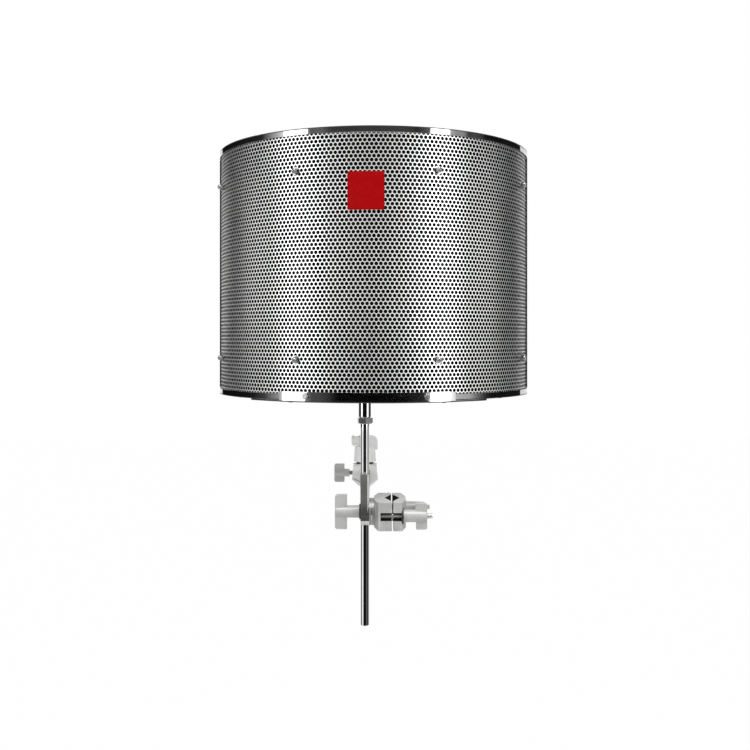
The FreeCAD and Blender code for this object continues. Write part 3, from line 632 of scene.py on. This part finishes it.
def repeated(bm, countX, stepX, countY, stepY):
    mesh = bpy.data.meshes.new("tile")
    bm.to_mesh(mesh)
    bm.free()
    obj = bpy.data.objects.new("tile", mesh)
    bpy.context.scene.collection.objects.link(obj)
    for count, step in ((countX, (stepX, 0, 0)), (countY, (0, stepY, 0))):
        array = obj.modifiers.new("array", "ARRAY")
        array.count = count
        array.use_relative_offset = False
        array.use_constant_offset = True
        array.constant_offset_displace = step
        array.use_merge_vertices = True
        array.merge_threshold = sheet["weld"]
    bakeModifiers(obj)
    made = bmesh.new()
    made.from_mesh(obj.data)
    bpy.data.objects.remove(obj)
    return made


def wrapOnPanel(bm, radius):
    for vert in bm.verts:
        angle = vert.co.x / radius + turn
        r = radius + vert.co.z
        vert.co = Vector((panelAxis.x + r * math.sin(angle), panelAxis.y - r * math.cos(angle), vert.co.y))


def perforatedSkin(label, radius, outward):
    arc = 2 * math.radians(panel["halfSpan"]) * radius
    height = panel["zHigh"] - panel["zLow"]
    columns = round(arc / sheet["pitch"])
    pitch = arc / columns
    rows = 2 * round(height / (2 * pitch * math.cos(hexTurn / 2)))
    rowPitch = height / rows
    made = []
    parts = sheet["parts"]
    for part in range(parts):
        first = columns * part // parts
        last = columns * (part + 1) // parts
        tile = holeTile(pitch, rowPitch)
        bm = repeated(tile, last - first, pitch, rows // 2 + 1, 2 * rowPitch)
        shift = (-arc / 2 + (first + sheet["firstColumn"]) * pitch, panel["zLow"], 0)
        bmesh.ops.translate(bm, verts=bm.verts, vec=shift)
        cuts = [((0, panel["zLow"], 0), (0, -1, 0)), ((0, panel["zHigh"], 0), (0, 1, 0))]
        if part == 0:
            cuts.append(((-arc / 2, 0, 0), (-1, 0, 0)))
        if part == parts - 1:
            cuts.append(((arc / 2, 0, 0), (1, 0, 0)))
        for place, normal in cuts:
            geom = bm.verts[:] + bm.edges[:] + bm.faces[:]
            bmesh.ops.bisect_plane(bm, geom=geom, dist=sheet["cutSlack"], plane_co=place,
                                   plane_no=normal, clear_outer=True)
        wrapOnPanel(bm, radius)
        bmesh.ops.recalc_face_normals(bm, faces=bm.faces)
        bm.normal_update()
        sample = bm.faces[0]
        away = sample.calc_center_median() - Vector((panelAxis.x, panelAxis.y, sample.verts[0].co.z))
        if (sample.normal.dot(away) > 0) != outward:
            bmesh.ops.reverse_faces(bm, faces=bm.faces)
        piece = addPiece(label + str(part + 1), bm, "shield", "perforated aluminium", sheet["sharpAngle"])
        # the hole walls take the painted shade
        piece.data.materials.append(paintedShadeHoleWall)
        wall = piece.modifiers.new("thickness", "SOLIDIFY")
        wall.thickness = sheet["edge"]
        wall.offset = -1.0
        wall.material_offset_rim = 1
        split = piece.modifiers.new("crisp", "EDGE_SPLIT")
        split.split_angle = math.radians(sheet["crispAngle"])
        made.append(piece)
    return made


for piece in perforatedSkin("outerSkin", sheet["outerRadius"], True):
    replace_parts(piece, "outer_perforated_skin")
for piece in perforatedSkin("innerSkin", sheet["innerRadius"], False):
    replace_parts(piece, "inner_perforated_skin")

skinFold = {
    "reach": 12.0 * mm,
    "steps": 84,
}


def skinFolds():
    bm = bmesh.new()
    outer = sheet["outerRadius"] - sheet["thick"]
    inner = sheet["outerRadius"] - skinFold["reach"]
    span = math.radians(panel["halfSpan"])
    for low in (panel["zLow"], panel["zHigh"] - sheet["thick"]):
        high = low + sheet["thick"]
        corners = [(inner, low), (outer, low), (outer, high), (inner, high)]
        verts = [bm.verts.new((0, -r, z)) for r, z in corners]
        face = bm.faces.new(verts)
        bmesh.ops.rotate(bm, verts=verts, cent=(0, 0, 0), matrix=Matrix.Rotation(-span, 3, "Z"))
        geom = verts + list(face.edges) + [face]
        bmesh.ops.spin(bm, geom=geom, cent=(0, 0, 0), axis=(0, 0, 1), angle=2 * span,
                       steps=skinFold["steps"])
    bmesh.ops.rotate(bm, verts=bm.verts, cent=(0, 0, 0), matrix=turned)
    bmesh.ops.translate(bm, verts=bm.verts, vec=(panelAxis.x, panelAxis.y, 0))
    bmesh.ops.recalc_face_normals(bm, faces=bm.faces)
    return addPiece("outerSkinFolds", bm, "shield", "perforated aluminium")


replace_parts(skinFolds(), "outer_perforated_skin")
print("perforated skins made")


felt = {
    "outer": (178.7 * mm, 198.3 * mm),
    "inner": (151.7 * mm, 169.3 * mm),
    "zLow": 136.2 * mm,
    "zHigh": 432.8 * mm,
    "halfSpan": 82.9,
    "fluff": 0.7 * mm,
    "lumps": 90,            # per metre
    "upCuts": 59,
    "throughCuts": 3,
    "roundSteps": 112,
    "weld": 1e-6,
    "sharpAngle": 50.0,
}


def feltBlanket(name, node, radii, seed):
    inner, outer = radii
    bm = bmesh.new()
    corners = [(inner, felt["zLow"]), (outer, felt["zLow"]), (outer, felt["zHigh"]), (inner, felt["zHigh"])]
    verts = [bm.verts.new((0, -r, z)) for r, z in corners]
    edges = [bm.edges.new((verts[i], verts[(i + 1) % 4])) for i in range(4)]
    bmesh.ops.subdivide_edges(bm, edges=[edges[1], edges[3]], cuts=felt["upCuts"])
    bmesh.ops.subdivide_edges(bm, edges=[edges[0], edges[2]], cuts=felt["throughCuts"])
    span = math.radians(felt["halfSpan"])
    bmesh.ops.rotate(bm, verts=bm.verts, cent=(0, 0, 0), matrix=Matrix.Rotation(-span, 3, "Z"))
    ring = bm.verts[:] + bm.edges[:]
    swept = bmesh.ops.spin(bm, geom=ring, cent=(0, 0, 0), axis=(0, 0, 1), angle=2 * span,
                           steps=felt["roundSteps"])
    endEdges = [e for e in swept["geom_last"] if isinstance(e, bmesh.types.BMEdge)]
    bmesh.ops.contextual_create(bm, geom=endEdges)
    startEdges = [e for e in ring if isinstance(e, bmesh.types.BMEdge) and e.is_valid]
    bmesh.ops.contextual_create(bm, geom=startEdges)
    bmesh.ops.remove_doubles(bm, verts=bm.verts, dist=felt["weld"])
    bmesh.ops.recalc_face_normals(bm, faces=bm.faces)
    middle = (inner + outer) / 2
    for vert in bm.verts:
        flat = Vector((vert.co.x, vert.co.y, 0))
        depth = noise.noise(vert.co * felt["lumps"] + Vector((seed, 0, 0))) * 0.5 + 0.5
        pull = felt["fluff"] * depth * (1 if flat.length < middle else -1)
        flat = flat.normalized() * (flat.length + pull)
        flat = turned @ flat
        vert.co = Vector((panelAxis.x + flat.x, panelAxis.y + flat.y, vert.co.z))
    piece = addPiece(name, bm, "shield", "dark wool", felt["sharpAngle"])
    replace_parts(piece, node)


feltBlanket("outerWool", "outer_absorber", felt["outer"], 3.0)
feltBlanket("innerWool", "inner_absorber", felt["inner"], 11.0)
print("wool blankets made")


softWidths = {              # width of the softened edge in mm, and its segments
    "top_end_plate": (1.0, 3),
    "bottom_end_plate": (1.0, 3),
    "left_edge_strip": (0.8, 3),
    "right_edge_strip": (0.8, 3),
    "mounting_bracket": (0.4, 2),
    "badge_plate": (0.35, 3),
    "outer_tie_washers": (0.15, 1),
    "inner_tie_washers": (0.15, 1),
    "outer_cap_nuts": (0.25, 2),
    "inner_cap_nuts": (0.25, 2),
    "lock_nut": (0.3, 2),
    "rod_socket": (0.3, 2),
    "tilt_arm": (0.5, 3),
    "tilt_washer": (0.3, 2),
    "jaw_washers": (0.3, 2),
    "fixed_jaw": (0.8, 3),
    "moving_jaw": (0.8, 3),
    "front_jaw_knob": (0.8, 3),
    "rear_jaw_knob": (0.8, 3),
    "tilt_knob": (1.0, 3),
    "microphone_carriage": (0.8, 3),
    "carriage_clamp_screw": (0.7, 3),
    "swivel_neck": (0.5, 3),
    "tilt_thumb_screw": (0.5, 2),
    "microphone_stud": (0.3, 2),
}
nutTurn = 10.0              # degrees, where the lock nut came to a stop on its thread
dressed = {}
for node, (width, segments) in softWidths.items():
    spun = nutTurn if node == "lock_nut" else 0.0
    dressed[node] = softenedNode(node, width * mm, segments, spun)
print("hardware softened:", len(softWidths))


def recolour(obj, material, test):
    obj.data.materials.append(material)
    index = len(obj.data.materials) - 1
    for polygon in obj.data.polygons:
        if test(polygon.center / mm, polygon.normal):
            polygon.material_index = index


jawInside = {               # mm, where the rough inner faces of the jaws are, which take painted shade
    "split": 0.85,
    "boreWidth": 8.75,
    "boreLength": 25.2,
    "boreSlack": 1.04,
    "wallTilt": 0.3,
    "boltY": 29.5,
    "slotHalf": 4.6,
    "slotRadius": 4.7,
    "slotEndTilt": 0.9,
    "slotFrom": -13.8,
    "slotTo": 10.0,
}


def insideJaw(centre, normal):
    inSplit = abs(centre.x) < jawInside["split"]
    across = abs(centre.x) / jawInside["boreWidth"] + abs(centre.y) / jawInside["boreLength"]
    inBore = across < jawInside["boreSlack"] and abs(normal.z) < jawInside["wallTilt"]
    overBolt = abs(centre.y) > jawInside["boltY"] - jawInside["slotRadius"]
    inSlot = (overBolt and abs(centre.z) < jawInside["slotHalf"]
              and abs(normal.y) < jawInside["slotEndTilt"]
              and jawInside["slotFrom"] < centre.x < jawInside["slotTo"])
    return inSplit or inBore or inSlot


armLightAndShade = {                 # which way a face points, for the arm's painted highlight and shade: parts of its normal
    "rearTilt": -0.2,
    "cornerLeast": 0.4,
    "cornerMost": 0.85,
    "underTilt": -0.55,
    "shadedTilt": -0.15,
}


def armHighlightFaces(centre, normal):
    rear = normal.y < armLightAndShade["rearTilt"]
    corner = armLightAndShade["cornerLeast"] < abs(normal.x) < armLightAndShade["cornerMost"]
    return rear and corner or normal.z < armLightAndShade["underTilt"]


def shadedArm(centre, normal):
    return normal.y < armLightAndShade["shadedTilt"] and normal.x > armLightAndShade["cornerMost"]


def besideAxis(centre):
    return math.hypot(centre.x - panelAxis.x / mm, centre.y - panelAxis.y / mm)


# The painted shade line along the turn of each rim: from, to and cut, all z in mm.
rimShadeLine = {
    "mounting_bracket": (126.9, 128.4, 128.4),
    "bottom_end_plate": (128.9, 130.0, 130.0),
    "top_end_plate": (438.9, 440.1, 438.9),
}
rimRadius = 200.0           # mm
flatTilt = 0.95             # a face whose normal has more z than this lies flat
stripEdge = {
    "radius": 198.5,        # mm
    "rearTilt": -0.6,
}
neckGroove = (36.7, 39.4)   # z in mm
shankEnd = -53.0            # x in mm, where the clamp screw's shank meets its head


def scoreRim(obj, z):
    bm = bmesh.new()
    bm.from_mesh(obj.data)
    geom = bm.verts[:] + bm.edges[:] + bm.faces[:]
    bmesh.ops.bisect_plane(bm, geom=geom, dist=1e-7, plane_co=(0, 0, z * mm), plane_no=(0, 0, 1))
    bm.to_mesh(obj.data)
    bm.free()


def stripPaintedReflection(centre, normal):
    return besideAxis(centre) > stripEdge["radius"] and normal.y < stripEdge["rearTilt"]


def everyFace(centre, normal):
    return True


def inGroove(centre, normal):
    return neckGroove[0] < centre.z < neckGroove[1]


# painted shade inside the jaws
recolour(dressed["fixed_jaw"], paintedShadeCast, insideJaw)
recolour(dressed["moving_jaw"], paintedShadeCast, insideJaw)
# painted shade in the neck's groove, painted light on the rest of the neck
recolour(dressed["swivel_neck"], blackWasherAndPaintedShade, inGroove)
recolour(dressed["swivel_neck"], paintedLightAlloy, lambda c, n: not inGroove(c, n))
recolour(dressed["carriage_clamp_screw"], blackenedSteel, lambda c, n: c.x > shankEnd)
recolour(dressed["carriage_clamp_screw"], knobAlloy, lambda c, n: c.x <= shankEnd)
recolour(dressed["lock_nut"], nutChrome, everyFace)
# painted highlight on the arm's corners and underside, painted shade on its side face
recolour(dressed["tilt_arm"], paintedHighlightEdge, armHighlightFaces)
recolour(dressed["tilt_arm"], paintedShadeCast, shadedArm)
# the painted shade line along each rim's turn
for node, (start, end, cut) in rimShadeLine.items():
    scoreRim(dressed[node], cut)
    recolour(dressed[node], blackWasherAndPaintedShade,
             lambda c, n: besideAxis(c) > rimRadius and start < c.z < end and abs(n.z) < flatTilt)
# painted dark reflection on the edge strips' rear step
for node in ("left_edge_strip", "right_edge_strip"):
    recolour(dressed[node], blackWasherAndPaintedShade, stripPaintedReflection)
# the mic mount parts take the painted light
for node in ("microphone_carriage", "tilt_thumb_screw"):
    recolour(dressed[node], paintedLightAlloy, everyFace)

thread = {
    "depth": 0.13,           # of the bolt's radius
    "steps": 20,
    "weld": 2e-6,
    "boltSegments": 32,
    "boltChamfer": 0.4 * mm,
    "boltSharpAngle": 40.0,
    "boltLead": 0.3 * mm,    # plain part before the thread starts
    "boltRunOut": 0.2 * mm,
    "studNeck": 0.6 * mm,
    "studLead": 0.8 * mm,
    "studRunOut": 0.4 * mm,
    "boltPitch": 1.27 * mm,
    "boltRadius": 3.175 * mm,
    "boltStart": -16.75 * mm,
    "boltEnd": 45.35 * mm,
    "boltY": 29.5 * mm,
    "studPitch": 1.5875 * mm,
    "studRadius": 4.75 * mm,
    "studLow": 76.5 * mm,
    "studHigh": 90.5 * mm,
}


def threadRidge(bm, radius, pitch, start, end, place):
    core = radius * (1 - thread["depth"])
    steps = thread["steps"]
    turns = int((end - start) / pitch) - 1
    # one ridge over one pitch: the place along it, and the radius there
    shape = [(0, core), (0.14, core), (0.46, radius), (0.58, radius), (0.90, core), (1, core)]
    verts = [bm.verts.new((start + x * pitch, 0, r)) for x, r in shape]
    edges = [bm.edges.new(pair) for pair in zip(verts, verts[1:])]
    before = set(bm.verts) - set(verts)
    bmesh.ops.spin(bm, geom=verts + edges, cent=(0, 0, 0), axis=(1, 0, 0), dvec=(pitch / steps, 0, 0),
                   angle=math.radians(360 * turns), steps=steps * turns)
    ridge = [v for v in bm.verts if v not in before]
    for vert in ridge:
        fade = min((vert.co.x - start) / pitch, (start + (turns + 1) * pitch - vert.co.x) / pitch, 1.0)
        around = Vector((0, vert.co.y, vert.co.z))
        height = core + (around.length - core) * max(fade, 0.0)
        around = around.normalized() * height
        vert.co = Vector((vert.co.x, around.y, around.z))
    bmesh.ops.remove_doubles(bm, verts=ridge, dist=thread["weld"])
    ridge = [v for v in bm.verts if v not in before]
    bmesh.ops.transform(bm, verts=ridge, matrix=place)


def jawBolts():
    bm = bmesh.new()
    core = thread["boltRadius"] * (1 - thread["depth"])
    length = thread["boltEnd"] - thread["boltStart"]
    lying = Matrix.Rotation(math.radians(90), 4, "Y")
    middle = Matrix.Translation((thread["boltStart"] + length / 2, 0, 0)) @ lying
    for side in (-1, 1):
        place = Matrix.Translation((0, side * thread["boltY"], 0))
        made = bmesh.ops.create_cone(bm, cap_ends=True, segments=thread["boltSegments"], radius1=core,
                                     radius2=core, depth=length, matrix=place @ middle)
        rims = [e for v in made["verts"] for e in v.link_edges]
        rims = [e for e in set(rims) if abs(e.verts[0].co.x - e.verts[1].co.x) < 1e-6]
        bmesh.ops.bevel(bm, geom=rims, offset=thread["boltChamfer"], segments=2, profile=0.5,
                        affect="EDGES", material=-1)
        threadRidge(bm, thread["boltRadius"], thread["boltPitch"],
                    thread["boltStart"] + thread["boltLead"],
                    thread["boltEnd"] - thread["boltRunOut"], place)
    bmesh.ops.recalc_face_normals(bm, faces=bm.faces)
    bolts = addPiece("threadedJawBolts", bm, "clamp", "blackened steel", thread["boltSharpAngle"])
    recolour(bolts, boltSteel, everyFace)
    return bolts


def threadStud(obj):
    bm = bmesh.new()
    bm.from_mesh(obj.data)
    axisX, axisY = nodeMiddle("microphone_stud")
    slim = 1 - thread["depth"]
    for vert in bm.verts:
        if vert.co.z > thread["studLow"] + thread["studNeck"]:
            vert.co.x = axisX + (vert.co.x - axisX) * slim
            vert.co.y = axisY + (vert.co.y - axisY) * slim
    place = Matrix.Translation((axisX, axisY, 0)) @ Matrix.Rotation(math.radians(-90), 4, "Y")
    threadRidge(bm, thread["studRadius"], thread["studPitch"],
                thread["studLow"] + thread["studLead"],
                thread["studHigh"] - thread["studRunOut"], place)
    bm.to_mesh(obj.data)
    bm.free()
    obj.data.polygons.foreach_set("use_smooth", [True] * len(obj.data.polygons))


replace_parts(jawBolts(), "jaw_bolts")
threadStud(dressed["microphone_stud"])
print("threads cut")

rod = {
    "segments": 96,
    "weld": 1e-6,
    "sharpAngle": 30.0,
    "upper": [(0, 33.1), (4.0, 33.1), (4.0, 44.6), (5.0, 44.6), (5.0, 122.6),
              (4.6, 123.0), (0, 123.0)],      # radius and z in mm
    "lower": [(0, -131.5), (4.2, -131.5), (5.0, -130.7), (5.0, -14.7), (3.0, -14.7),
              (3.0, -7.5), (0, -7.5)],
}


def turnedRod(name, node, profile):
    bm = bmesh.new()
    verts = [bm.verts.new((r * mm, 0, z * mm)) for r, z in profile]
    edges = [bm.edges.new(pair) for pair in zip(verts, verts[1:])]
    bmesh.ops.spin(bm, geom=verts + edges, cent=(0, 0, 0), axis=(0, 0, 1), angle=math.radians(360),
                   steps=rod["segments"], use_merge=True)
    bmesh.ops.remove_doubles(bm, verts=bm.verts, dist=rod["weld"])
    bmesh.ops.translate(bm, verts=bm.verts, vec=(panel["rodX"], 0, 0))
    bmesh.ops.recalc_face_normals(bm, faces=bm.faces)
    piece = addPiece(name, bm, "arm", "rod chrome", rod["sharpAngle"])
    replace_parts(piece, node)


turnedRod("polishedUpperRod", "upper_rod", rod["upper"])
turnedRod("polishedLowerRod", "lower_rod", rod["lower"])
print("rods turned")

bpy.context.scene.view_settings.view_transform = "Standard"
print("scene complete")
